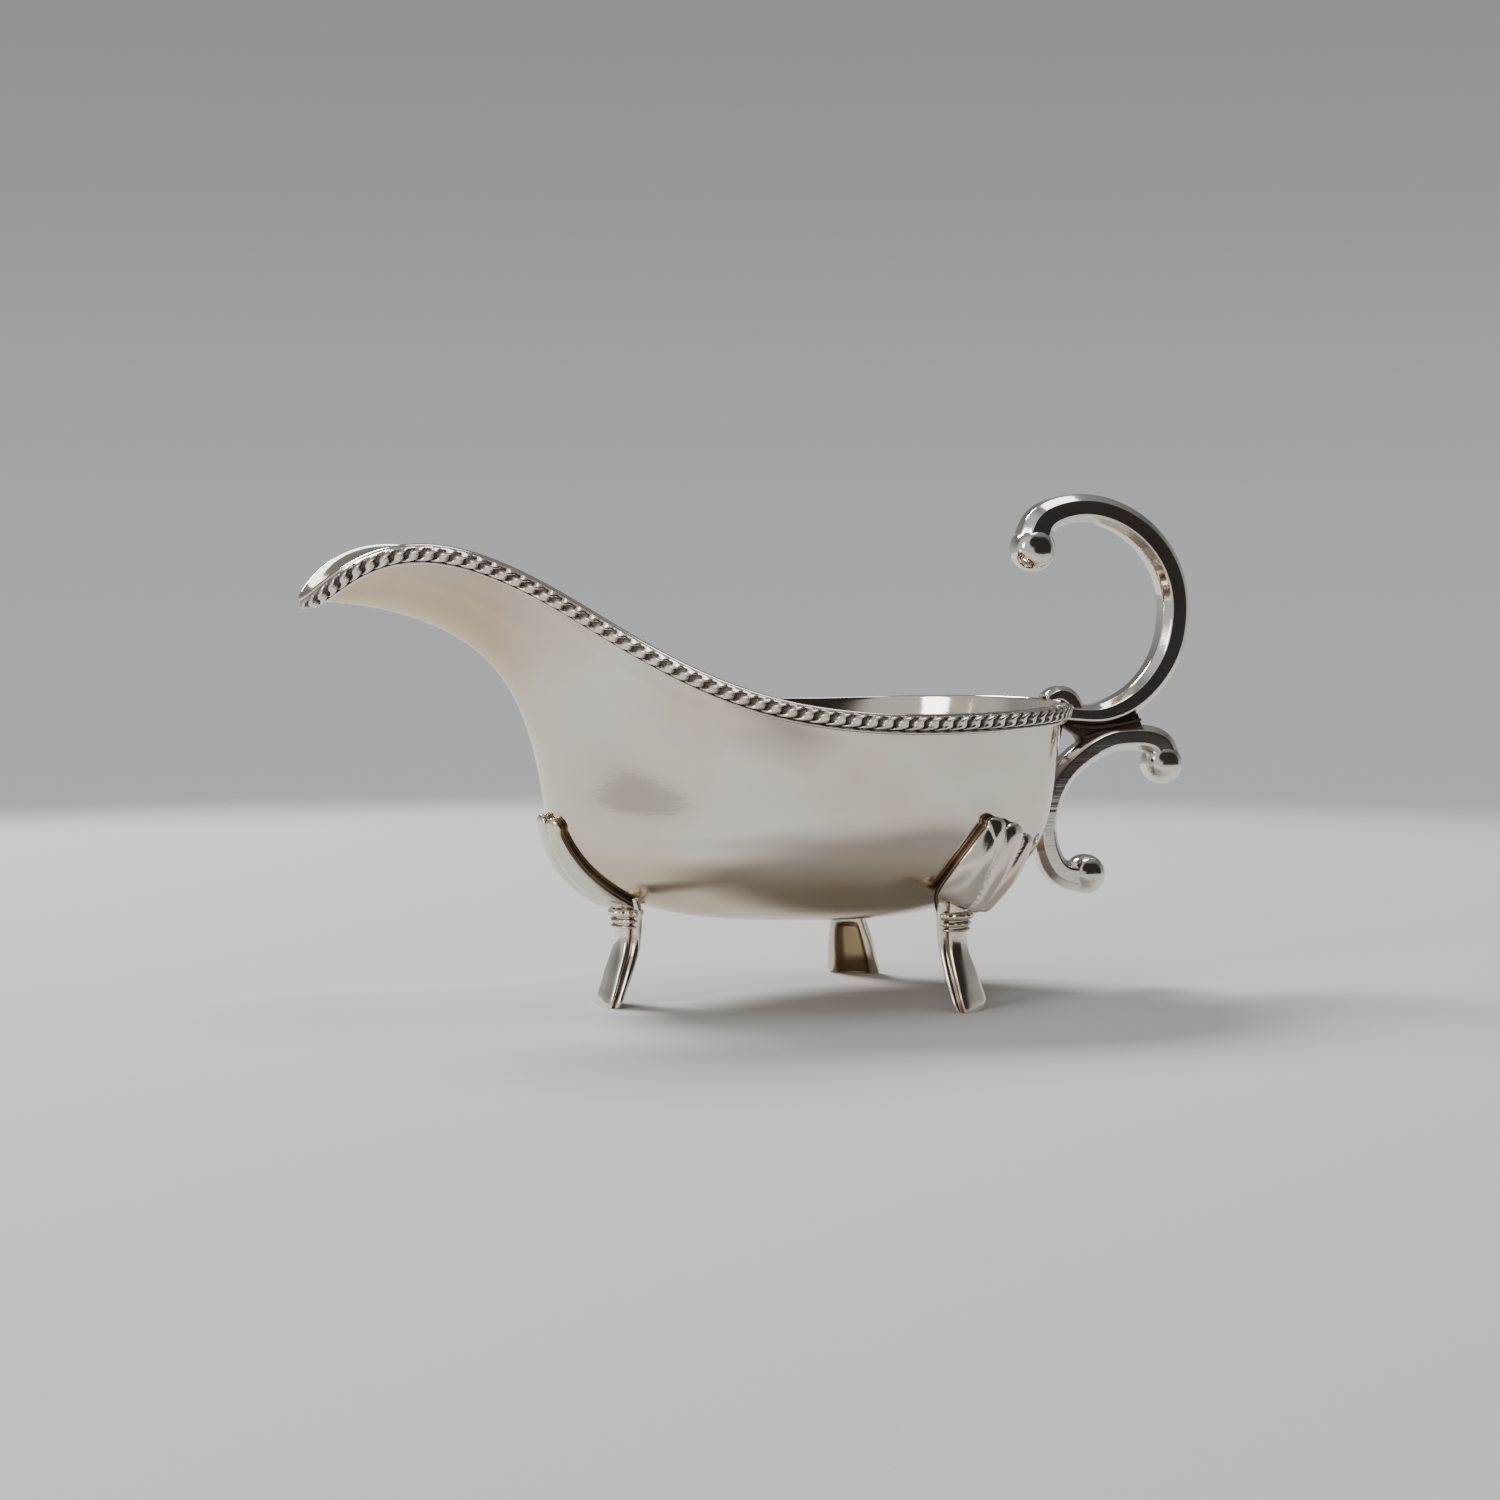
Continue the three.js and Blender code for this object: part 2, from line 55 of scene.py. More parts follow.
# Border: a band of slanted gadroons over a plain bead. The lean is in pitches over the whole band.
GADROON_PITCH = 3.3
GADROON_BAND = 3.05
GADROON_LEAN = 1.2
GADROON_RELIEF = 1.55
BEAD_BAND = 0.95
BEAD_RELIEF = 0.85
BORDER_LIFT = 0.05
BORDER_BACK = 0.02
TOP_EDGE = 0.35
BORDER_START = 3.9
BORDER_END_GAP = 0.12
HANDLE_HALF_WIDTH = 3.5
CAP_HALF_WIDTH = 2.73
LOWER_HALF_WIDTH = 3.325
KNOB_SQUASH = 0.92

# Half outlines of the bowl's outer face, from the back to the spout, lowest first and rim last.
BOWL_BOTTOM = (12, 0, 16.8)
BOWL_LEVELS = [
    [(32, 0, 17.8), (27.5, 8, 17.7), (16.5, 11.6, 17.6), (6, 10, 17.6), (-1, 7, 17.6),
     (-6.5, 4.5, 17.7), (-10.5, 2.6, 17.8), (-12.6, 1.3, 17.9), (-13.2, 0, 17.9)],
    [(48.5, 0, 21.8), (39.5, 16.8, 21.5), (18, 23.8, 21.2), (0, 20, 21.2), (-12, 13.6, 21.2),
     (-21, 9, 21.6), (-27.5, 5.6, 22), (-31, 2.9, 22.4), (-32, 0, 22.5)],
    [(58, 0, 27.6), (46.7, 22.8, 27.4), (19, 32.6, 27), (-4, 27, 26.8), (-20, 18, 27),
     (-30.5, 12, 27.6), (-37.5, 8, 28.2), (-41.5, 4.2, 28.8), (-43, 0, 29.1)],
    [(62.8, 0, 35), (50.6, 26, 35), (19.5, 37.4, 34.2), (-6.5, 31, 34), (-25, 20, 34.8),
     (-36.5, 13, 36), (-43, 8.6, 37), (-47, 4.5, 37.8), (-48.1, 0, 38.2)],
    [(64.7, 0, 42.5), (52.2, 27.3, 42.5), (20, 39.6, 41.5), (-7, 32.5, 42), (-27, 19.5, 44.3),
     (-38.5, 12.2, 46.8), (-45, 8, 48.5), (-49.2, 4.4, 49.6), (-50.6, 0, 50.2)],
    [(65.6, 0, 49), (53, 28, 49), (20.5, 40.7, 48), (-7.5, 33, 49.5), (-29, 18.8, 54.5),
     (-42, 11.2, 59.5), (-49.5, 7.6, 63), (-54, 4.2, 65.3), (-56, 0, 65.5)],
    [(66.3, 0, 54.5), (53.6, 28.6, 54.5), (21, 41.4, 53.5), (-9, 34, 56.5), (-32, 19.8, 64.5),
     (-47.5, 12.4, 72.5), (-58.5, 9, 77.4), (-64.5, 5.2, 78), (-67, 0, 77.4)],
    [(66.9, 0, 59), (54.1, 29.1, 59), (21.5, 42, 58), (-11, 35.4, 61.8), (-35.5, 22.2, 72.5),
     (-54.5, 14.4, 84.6), (-70.5, 12.4, 89.2), (-82.5, 8.2, 87.4), (-87, 0, 84.7)],
    [(67.5, 0, 63.2), (54.6, 29.6, 63), (22, 42.5, 62.4), (-12, 36.6, 66.2), (-38, 24.6, 78.5),
     (-60, 16.9, 91.9), (-80, 14.7, 97.3), (-95, 9.6, 92.4), (-101.5, 0, 86)],
]

# Handle lines in the XZ plane: (x, z, half height of the bar).
UPPER_LINE = [(63.6, 98.8, 4.2), (64.9, 102.3, 3.7), (70.4, 105.4, 3.2), (77.2, 105.9, 3.1),
              (86.6, 102.8, 3.2), (93.7, 96.7, 3.3), (97.7, 88.5, 3.3), (97.9, 79.1, 3.3),
              (96.1, 72.8, 3.2), (92.7, 67.6, 3), (88.4, 63.6, 2.9), (83.8, 61.1, 2.8),
              (78.6, 59.8, 2.4), (74, 59.9, 2.2), (67.8, 60.4, 2.2)]
UPPER_KNOB = (63.4, 96.8, 5.0)
CAP_LINE = [(77, 59.1, 1.6), (73.8, 60.2, 2.2), (72.6, 62.2, 2.4), (71.1, 63.8, 2.3),
            (69, 64.4, 1.9), (66.4, 63.5, 1.2)]
LOWER_LINE = [(95.4, 49.6, 4), (94.6, 52.4, 3.4), (91.6, 54.2, 3), (87.5, 54.6, 2.9),
              (82.2, 54.2, 2.9), (75.8, 51.2, 2.8), (70.2, 46.4, 2.7), (67.2, 40.6, 2.7),
              (66, 35, 2.7), (66.8, 29.6, 2.8), (69.6, 25.2, 2.9), (75, 23.8, 3.6)]
LOWER_KNOBS = [(95.3, 48.6, 4.6), (76.2, 24.3, 4.4)]
# Web between the scrolls: its edges draw in near both faces, and its mouldings stand proud.
WEB_HALF_WIDTH = 2.3
WEB_EDGE = 0.4
WEB_DRAWN_IN = 0.9375
MOULDING_PROUD = 0.45
WEB_MOULDINGS = [[(72.3, 57.6, 0.5), (77, 57.1, 0.55), (83, 57.6, 0.55), (89, 58.6, 0.45)],
                 [(75.2, 54.9, 0.5), (79, 56, 0.5), (84, 56.2, 0.5), (89.5, 56.6, 0.4)]]
WEB_OUTLINE = [(69.5, 58.2), (74.2, 55.1), (76, 51.5), (84, 54), (90, 56), (88.5, 60), (79, 58.5)]


# ---- smooth curves ---------------------------------------------------------------------------
def knots_from(points):
    """Shared knots: chord lengths averaged over the columns of points[column][row]."""
    steps = np.linalg.norm(np.diff(points, axis=1), axis=2).mean(axis=0)
    return np.concatenate([[0.0], np.cumsum(steps)])


def second_derivatives(knots, values, start_slope=None):
    """Moments of the cubic spline through values[row], natural unless start_slope is given."""
    count = len(knots)
    gaps = np.diff(knots)
    slopes = np.diff(values, axis=0) / gaps[:, None]
    matrix = np.zeros((count, count))
    right = np.zeros_like(values)
    matrix[0, 0] = matrix[-1, -1] = 1.0
    if start_slope is not None:
        matrix[0, 0], matrix[0, 1] = 2 * gaps[0], gaps[0]
        right[0] = 6 * (slopes[0] - start_slope)
    for k in range(1, count - 1):
        matrix[k, k - 1:k + 2] = gaps[k - 1], 2 * (gaps[k - 1] + gaps[k]), gaps[k]
        right[k] = 6 * (slopes[k] - slopes[k - 1])
    return np.linalg.solve(matrix, right)


def spline(knots, values, at, start_slope=None):
    """Cubic spline through values[row, axis] at knots, read at the given places."""
    moments = second_derivatives(knots, values, start_slope)
    index = np.clip(np.searchsorted(knots, at, side="right") - 1, 0, len(knots) - 2)
    gap = (knots[index + 1] - knots[index])[:, None]
    a = (knots[index + 1] - at)[:, None] / gap
    b = 1 - a
    bend = ((a ** 3 - a) * moments[index] + (b ** 3 - b) * moments[index + 1]) * gap ** 2 / 6
    return a * values[index] + b * values[index + 1] + bend


def closed_spline(points, count):
    """Closed smooth loop through points; wraps three turns so that the seam is as smooth as the rest."""
    knots = knots_from(np.concatenate([points, points[:1]])[None])
    turn = knots[-1]
    many = np.concatenate([points, points, points, points[:1]])
    many_knots = np.concatenate([knots[:-1], knots[:-1] + turn, knots[:-1] + 2 * turn, [3 * turn]])
    at = turn + turn * np.arange(count) / count
    return spline(many_knots, many, at)


def line_spline(points, count):
    """Open smooth line through points, read at count even places."""
    points = np.array(points, float)
    knots = knots_from(points[None, :, :2])
    return spline(knots, points, np.linspace(0, knots[-1], count))


def unit(vectors):
    return vectors / np.maximum(np.linalg.norm(vectors, axis=-1, keepdims=True), 1e-12)


def dome(distance):
    """Height of a half circle of radius 1 at a distance from its middle, and 0 outside it."""
    return np.sqrt(np.clip(1 - distance ** 2, 0, 1))


def rise(value, start, length):
    """0 up to start, 1 from start + length on, and a straight line between."""
    return np.clip((value - start) / length, 0, 1)


def eased(share):
    return share * share * (3 - 2 * share)


# ---- meshes ----------------------------------------------------------------------------------
def make_object(name, points, faces, recess=None):
    """Smooth mesh from points in millimetres. recess is 0 on open metal and 1 deep in a groove; the
    material turns it into painted shade (partly tarnish where the knees meet the wall) and, on the bowl,
    into a painted golden reflection.
    """
    mesh = bpy.data.meshes.new(name)
    mesh.from_pydata((np.asarray(points) * MM).tolist(), [], faces)
    mesh.validate()
    tidy = bmesh.new()
    tidy.from_mesh(mesh)
    bmesh.ops.recalc_face_normals(tidy, faces=tidy.faces)
    tidy.to_mesh(mesh)
    tidy.free()
    if recess is not None:
        layer = mesh.attributes.new("recess", "FLOAT", "POINT")
        layer.data.foreach_set("value", np.asarray(recess, np.float32).ravel())
    mesh.polygons.foreach_set("use_smooth", [True] * len(mesh.polygons))
    piece = bpy.data.objects.new(name, mesh)
    bpy.context.scene.collection.objects.link(piece)
    return piece


def ring_faces(rows, columns):
    """Faces between neighbouring rows of a stack of closed rings."""
    faces = []
    for row in range(rows - 1):
        for column in range(columns):
            after = (column + 1) % columns
            faces.append((row * columns + column, row * columns + after,
                          (row + 1) * columns + after, (row + 1) * columns + column))
    return faces


def capped_stack(loops):
    """Points and faces of loops[row, column] closed around, with a fan on each end."""
    rows, columns = loops.shape[:2]
    points = np.concatenate([loops.reshape(-1, 3), loops[0].mean(0)[None], loops[-1].mean(0)[None]])
    faces = ring_faces(rows, columns)
    first, last = rows * columns, rows * columns + 1
    for column in range(columns):
        after = (column + 1) % columns
        faces.append((first, after, column))
        faces.append((last, (rows - 1) * columns + column, (rows - 1) * columns + after))
    return points, faces


def closed_body(loops, recess, ends):
    """Points, faces and recess of a stack of loops. ends holds the recess of its two end points."""
    points, faces = capped_stack(loops)
    return points, faces, np.concatenate([np.ravel(recess), ends])


def join_bodies(name, bodies, side=1):
    """One object out of several closed bodies, mirrored to the other side when side is -1."""
    points, faces, recess, offset = [], [], [], 0
    for some_points, some_faces, some_recess in bodies:
        points.append(some_points)
        faces += [tuple(i + offset for i in face) for face in some_faces]
        recess.append(some_recess)
        offset += len(some_points)
    points = np.concatenate(points)
    points[:, 1] *= side
    return make_object(name, points, faces, np.concatenate(recess))


# ---- bowl surface ----------------------------------------------------------------------------
AROUND = 288
UP = 80
MIRROR = np.array([1.0, -1.0, 1.0])
HALF_LOOPS = np.array(BOWL_LEVELS, float)
LOOPS = np.concatenate([HALF_LOOPS, (HALF_LOOPS * MIRROR)[:, -2:0:-1]], axis=1)
# SHIFT moves the outlines along X, so that the lip ends where the frame's bowl ends.
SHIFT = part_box("bowl")[0].x / MM - LOOPS[-1, :, 0].min()
LOOPS[:, :, 0] += SHIFT
# Painted golden reflection where the wall faces down: how strong, and where it starts and how it fades
# in.
BELLY_PAINTED_REFLECTION, BELLY_TOP, BELLY_FADE = 0.24, 40, 14
SPOUT_PAINTED_REFLECTION, SPOUT_START, SPOUT_FADE = 0.36, 46, 18
DOWN_START, DOWN_FADE = 0.10, 0.45


def bowl_grid(around, ups):
    """Outer face: grid[up, around] for around steps and the given fractions up the wall."""
    rings = np.array([closed_spline(level, around) for level in LOOPS])
    bottom = np.array(BOWL_BOTTOM, float) + (SHIFT, 0, 0)
    columns = np.concatenate([np.repeat(bottom[None, None], around, 1), rings]).transpose(1, 0, 2)
    knots = knots_from(columns)
    grid = np.zeros((len(ups), around, 3))
    for k, column in enumerate(columns):
        slope = (column[1] - column[0]) / knots[1] * (1, 1, 0)
        grid[:, k] = spline(knots, column, knots[-1] * ups, slope)
    return grid


def grid_normals(grid):
    along = np.roll(grid, -1, 1) - np.roll(grid, 1, 1)
    upward = np.gradient(grid, axis=0)
    return unit(np.cross(along, upward))


def build_bowl():
    ups = np.linspace(0, 1, UP + 1)[1:] ** 0.9
    outer = bowl_grid(AROUND, ups)
    normals = grid_normals(outer)
    inner = outer - normals * SHEET
    rim_out = normals[-1] * SHEET / 2
    rim_up = unit(outer[-1] - outer[-2]) * RIM_ROUND
    middle = outer[-1] - rim_out
    turns = np.linspace(0, math.pi, 7)[1:-1]
    edge = [middle + rim_out * math.cos(turn) + rim_up * math.sin(turn) for turn in turns]
    loops = np.concatenate([outer, np.array(edge), inner[::-1]])
    points, faces = capped_stack(loops)
    # Painted reflection: a golden tint on the down-facing belly and spout, carried in the recess
    # attribute.
    facing_down = rise(-normals[:, :, 2], DOWN_START, DOWN_FADE)
    belly = rise(-outer[:, :, 2], -BELLY_TOP, BELLY_FADE)
    spout = rise(SHIFT - outer[:, :, 0], SPOUT_START, SPOUT_FADE)
    painted_reflection = facing_down * np.maximum(belly * BELLY_PAINTED_REFLECTION, spout * SPOUT_PAINTED_REFLECTION)
    recess = np.zeros(len(points))
    recess[:painted_reflection.size] = painted_reflection.ravel()
    return make_object("bowl_body", points, faces, recess)


# ---- gadroon border --------------------------------------------------------------------------
RIM_STEPS = 2048
STEPS_PER_LOBE = 14
GADROON_ROWS = 19
# Places across the bead, from its upper groove to its lower edge, in shares of its width.
BEAD_ROWS = np.array([0.04, 0.14, 0.3, 0.5, 0.7, 0.86, 0.96, 1.0, 1.0])
# Lobes, in shares of the pitch: the sway of their slant, half width at the rim, and widening.
LOBE_SWAY = 0.16
LOBE_HALF_WIDTH = 0.24
LOBE_WIDENING = 0.21
# Moulding under the lobes, in shares of the band: where it is full, where it falls, and how far.
MOULDING_FULL = 0.18
MOULDING_FALL = 0.75
MOULDING_FALL_LENGTH = 0.27
# Fine ribs between the lobes: where they lie within one pitch, how wide they are and how high.
RIB_PLACES = (0.0, 0.13, 0.87)
RIB_HALF_WIDTH = 0.05
RIB_HEIGHT = 0.30


def rim_frames(count):
    """Rim line with its outward normal and its way down the wall."""
    fine = bowl_grid(count, np.array([0.985, 0.9925, 1.0]))
    normals = grid_normals(fine)[-1]
    rim = fine[-1]
    along = unit(np.roll(rim, -1, 0) - np.roll(rim, 1, 0))
    down = unit(np.cross(along, normals))
    return rim, normals, down


def gadroon_row(turn, fraction):
    """Height and recess of the gadroons at turn lobes along the rim and a fraction down the band."""
    sway = fraction + LOBE_SWAY * math.sin(2 * math.pi * fraction)
    phase = (turn - GADROON_LEAN * sway) % 1.0
    half_width = LOBE_HALF_WIDTH + LOBE_WIDENING * min(1.0, fraction * 1.25) ** 0.8
    shape = dome(np.abs(phase - 0.5) / half_width)
    rib_height = RIB_HEIGHT * min(1.0, 1.7 * (1 - fraction))
    for place in RIB_PLACES:
        distance = np.abs((phase - place + 0.5) % 1.0 - 0.5) / RIB_HALF_WIDTH
        shape = np.maximum(shape, rib_height * dome(distance))
    moulding = dome(1 - min(1.0, fraction / MOULDING_FULL))
    moulding *= dome(max(0.0, fraction - MOULDING_FALL) / MOULDING_FALL_LENGTH)
    valley = 0.10 + 0.25 * moulding
    height = GADROON_RELIEF * moulding * (valley + (1 - valley) * shape)
    # Painted shade: darker between the lobes and ribs, carried as recess.
    recess = np.clip(1.12 - shape * 1.3, 0, 1) * min(1.0, fraction * 9)
    return TOP_EDGE * (1 - fraction) ** 6 + height, recess


def bead_row(share):
    """Height and recess of the plain bead at a share of its width."""
    # Painted shade in the upper groove and at the lower edge of the bead.
    recess = 1.0 if share < 0.2 else 0.8 if share > 0.9 else 0.0
    return BEAD_RELIEF * dome(2 * share - 1), recess


def build_border(name, side):
    """Half of the border as one closed strip: moulded front rows, and two rows for its flat back."""
    rim, normals, down = [table[:RIM_STEPS // 2 + 1] for table in rim_frames(RIM_STEPS)]
    lengths = np.concatenate([[0], np.cumsum(np.linalg.norm(np.diff(rim, axis=0), axis=1))])
    end = lengths[-1] - BORDER_END_GAP
    lobes = round((end - BORDER_START) / GADROON_PITCH)
    pitch = (end - BORDER_START) / lobes
    along = np.linspace(BORDER_START, end, lobes * STEPS_PER_LOBE + 1)
    turn = (along - BORDER_START) / pitch

    def read(table):
        return np.stack([np.interp(along, lengths, table[:, axis]) for axis in range(3)], 1)

    rim, normals, down = read(rim), unit(read(normals)), unit(read(down))
    gadroon_places = np.linspace(0.0, 1.0, GADROON_ROWS) * GADROON_BAND
    across = np.concatenate([[0.0], gadroon_places, GADROON_BAND + BEAD_BAND * BEAD_ROWS])
    height = np.zeros((len(across), len(along)))
    recess = np.zeros_like(height)
    for row, place in enumerate(across[1:], start=1):
        if place <= GADROON_BAND:
            height[row], recess[row] = gadroon_row(turn, place / GADROON_BAND)
        else:
            height[row], recess[row] = bead_row((place - GADROON_BAND) / BEAD_BAND)
    height[-1] = 0
    proud = (BORDER_LIFT + height)[:, :, None]
    front = rim[None] + down[None] * across[:, None, None] + normals[None] * proud
    back = np.array([rim + down * across[-1] + normals * BORDER_BACK, rim + normals * BORDER_BACK])
    loops = np.concatenate([front, back]).transpose(1, 0, 2)
    loops[:, :, 1] *= side
    # The flat back against the bowl is painted fully dark as shade.
    depth = np.concatenate([recess, np.ones((2, len(along)))]).T
    if side > 0:
        loops = loops[:, ::-1]
        depth = depth[:, ::-1]
    return make_object(name, *closed_body(loops, depth, [0.5, 0.5]))


# ---- bars of the handle ----------------------------------------------------------------------
KNOB_ROWS = 28
KNOB_COLUMNS = 48
CORNER_STEPS = 4
CORNER_SIZE = 0.085
# Corners of the bar's section in units of its half sizes: flats on the sides and slopes between.
FLAT = 0.52
SLOPE = 0.46
BAR_CORNERS = np.array([(1, SLOPE), (FLAT, 1), (-FLAT, 1), (-1, SLOPE),
                        (-1, -SLOPE), (-FLAT, -1), (FLAT, -1), (1, -SLOPE)])


def bar_section():
    """Eight-sided moulded section with softened corners, in units of the half sizes."""
    section = []
    following = np.roll(BAR_CORNERS, -1, axis=0)
    for at, previous, coming in zip(BAR_CORNERS, np.roll(BAR_CORNERS, 1, axis=0), following):
        before = at + CORNER_SIZE * unit(previous - at)
        after = at + CORNER_SIZE * unit(coming - at)
        for t in np.linspace(0, 1, CORNER_STEPS):
            section.append((1 - t) ** 2 * before + 2 * t * (1 - t) * at + t * t * after)
        side_end = coming + CORNER_SIZE * unit(at - coming)
        for t in (0.10, 0.5, 0.90):
            section.append((1 - t) * after + t * side_end)
    return np.array(section)


def bar_body(line, half_width, steps, recess=0.0):
    """Bar swept along a line in the XZ plane."""
    path = line_spline(line, steps)
    path[:, 0] += SHIFT
    tangent = unit(np.gradient(path[:, :2], axis=0))
    outward = np.stack([-tangent[:, 1], np.zeros(steps), tangent[:, 0]], 1)
    section = bar_section()
    centre = np.stack([path[:, 0], np.zeros(steps), path[:, 1]], 1)
    loops = centre[:, None] + outward[:, None] * (section[None, :, 0:1] * path[:, 2][:, None, None])
    loops[:, :, 1] += section[None, :, 1] * half_width
    return closed_body(loops[:, ::-1], np.full(loops.shape[:2], recess), [recess, recess])


def knob_body(x, z, radius):
    """Knob with its poles on the Y axis, a little flattened at the sides."""
    polar = np.linspace(0.02, math.pi - 0.02, KNOB_ROWS)
    turn = np.linspace(0, 2 * math.pi, KNOB_COLUMNS, endpoint=False)
    ring = np.sin(polar) ** 0.8
    pole = np.sign(np.cos(polar)) * np.abs(np.cos(polar)) ** 0.8
    loops = np.zeros((KNOB_ROWS, KNOB_COLUMNS, 3))
    loops[:, :, 0] = x + SHIFT + radius * ring[:, None] * np.cos(turn)
    loops[:, :, 1] = (radius * KNOB_SQUASH * pole)[:, None]
    loops[:, :, 2] = z + radius * ring[:, None] * np.sin(turn)
    return closed_body(loops, np.zeros(loops.shape[:2]), [0.0, 0.0])


def web_body():
    """Recessed web between the two scrolls: a plate whose edges draw in at both faces."""
    outline = np.array(WEB_OUTLINE, float)
    centre = outline.mean(0)
    inner_y = WEB_HALF_WIDTH - WEB_EDGE
    rows = []
    for size, y in ((WEB_DRAWN_IN, -WEB_HALF_WIDTH), (1, -inner_y),
                    (1, inner_y), (WEB_DRAWN_IN, WEB_HALF_WIDTH)):
        ring = centre + (outline - centre) * size
        rows.append(np.stack([ring[:, 0] + SHIFT, np.full(len(ring), y), ring[:, 1]], 1))
    # Painted shade: the whole web is painted as deep recess.
    return closed_body(np.array(rows), np.ones((len(rows), len(outline))), [1.0, 1.0])


def build_upper_scroll():
    main = bar_body(UPPER_LINE, HANDLE_HALF_WIDTH, 220)
    cap = bar_body(CAP_LINE, CAP_HALF_WIDTH, 60)
    return join_bodies("handle_flying_scroll", [main, cap, knob_body(*UPPER_KNOB)])


def build_lower_scroll():
    main = bar_body(LOWER_LINE, LOWER_HALF_WIDTH, 180)
    knobs = [knob_body(*knob) for knob in LOWER_KNOBS]
    moulding_width = WEB_HALF_WIDTH + MOULDING_PROUD
    # Painted shade on the web's mouldings (recess 0.75).
    mouldings = [bar_body(line, moulding_width, 40, recess=0.75) for line in WEB_MOULDINGS]
    return join_bodies("handle_c_scroll", [main, *knobs, web_body(), *mouldings])


# ---- legs ------------------------------------------------------------------------------------
# Root of each leg on the floor plan, the ways its shin and its knee face and the sideways lean of
# the knee shell in degrees, the shell's width, where its middle meets the wall, its height, the
# relief of its lobes, the swell over its root, and where the shin ends.
FRONT_LEG = {"root": (-31.3, 0.0), "shin": 180.0, "knee": 180.0, "lean": 0.0, "width": 0.62,
             "middle": 0.0, "stretch": 1.24, "relief": 1.2, "swell": 0.3, "top": 22.5}
REAR_LEG = {"root": (31.4, -29.8), "shin": -50.0, "knee": -62.0, "lean": 21.0, "width": 1.0,
            "middle": 4.0, "stretch": 0.98, "relief": 2.9, "swell": 2.8, "top": 24.6}
# Height of the shell's root, how far back its plane lies where the wall is behind it, how softly
# the plane runs into the wall, the middle of its polar rings and its least thickness.
KNEE_BASE = 19.8
KNEE_BACK = -2.2
KNEE_BLEND = 1.2
KNEE_CENTRE = np.array([0.0, 11.5])
KNEE_VALLEY = 1.7
VALLEY_SLOPE = math.tan(math.radians(8.6))
# Half outline of the knee shell: (half width, way up) from the root to the shoulder.
KNEE_SIDE = [(0.0, -2.0), (2.6, -1.3), (5.0, 1.4), (7.0, 5.0), (8.6, 9.0), (9.3, 12.5), (9.3, 16.0),
             (8.9, 19.2), (8.3, 21.6)]
# Tips of the lobes: (place sideways, height of the shoulder, half width), and how far they rise.
SIDE_TIP = (6.0, 22.0, 2.75)
MIDDLE_TIP = (0.0, 22.6, 3.1)
TIP_RISE = 2.1
# Ridges and grooves run around the shell's edge: (share of the thickness, way in, recess). The recess
# paints shade into the grooves, and next to the wall it is partly tarnish.
KNEE_EDGE = [(0.94, 0.0, 0.0), (0.84, -0.10, 0.2), (0.74, 0.05, 0.8), (0.66, 0.42, 1.0),
             (0.58, 0.42, 1.0), (0.5, 0.08, 0.8), (0.42, 0.02, 0.6), (0.34, 0.1, 0.8),
             (0.28, 0.45, 1.0), (0.2, 0.45, 1.0), (0.12, 0.12, 1.0), (0.02, 0.1, 1.0)]
# Shin: (way out, height, half depth, half width) down its line, and half of its section, which
# runs from the front over a groove at the side to the hollow at the back.
SHIN_LINE = [(0.7, 21.5, 2.6, 3.9), (0.1, 18.8, 2.6, 4.0), (0.1, 15.5, 2.4, 3.9), (0.4, 12.6, 2.3, 4.1),
             (1.3, 9.8, 2.2, 4.8), (2.5, 6.6, 2.1, 5.5), (3.6, 3.4, 1.9, 5.9), (4.4, 1.2, 1.7, 6.1),
             (4.7, 0.0, 1.5, 5.9)]
SHIN_SECTION = [(0.95, 0.0), (0.94, 0.30), (0.90, 0.40), (0.60, 0.74), (0.48, 0.82), (0.26, 0.90),
                (0.14, 0.86), (0.06, 0.76), (-0.08, 0.74), (-0.2, 0.84), (-0.34, 0.97), (-0.6, 1.0),
                (-0.86, 0.97), (-0.98, 0.86), (-0.94, 0.72), (-0.7, 0.6), (-0.2, 0.5), (0.05, 0.3),
                (0.1, 0.0)]
SHIN_STEPS = 90
SHIN_GROOVE = (7, 8)
HOLLOW_START = 12
HOLLOW_TOP = 13.5
HOLLOW_FADE = 3.0
# How dark the painted shade in the shin's hollow back is.
HOLLOW_PAINTED_SHADE = 0.55
# Collars around the top of the shin: (height, radius, half height, how far it stands out, lobes).
COLLARS = [(19.7, 3.7, 0.9, 0.95, 14), (18.0, 3.6, 0.55, 0.6, 9), (16.8, 3.55, 0.35, 0.4, 0)]
COLLAR_FORWARD = 0.15


def turned(degrees):
    """Plan directions outward and sideways of something that faces the given way."""
    angle = math.radians(degrees)
    return np.array([math.cos(angle), math.sin(angle)]), np.array([-math.sin(angle), math.cos(angle)])


def wall_reach(root, turn, zs, ts):
    """How far out from root the wall is, at each height zs and each sideways offset ts."""
    fine = bowl_grid(360, np.linspace(0.02, 0.72, 160))
    outward, sideways = turned(turn)
    table = np.zeros((len(zs), len(ts)))
    for row, z in enumerate(zs):
        ring = np.array([[np.interp(z, fine[:, k, 2], fine[:, k, axis]) for axis in (0, 1)]
                         for k in range(fine.shape[1])]) - np.array(root)
        far, across = ring @ outward, ring @ sideways
        next_far, next_across = np.roll(far, -1), np.roll(across, -1)
        for column, t in enumerate(ts):
            hit = (across - t) * (next_across - t) <= 0
            gap = next_across[hit] - across[hit]
            share = (t - across[hit]) / np.where(abs(gap) < 1e-9, 1, gap)
            reach = far[hit] + share * (next_far[hit] - far[hit])
            table[row, column] = reach.max() if len(reach) else -30
    return table


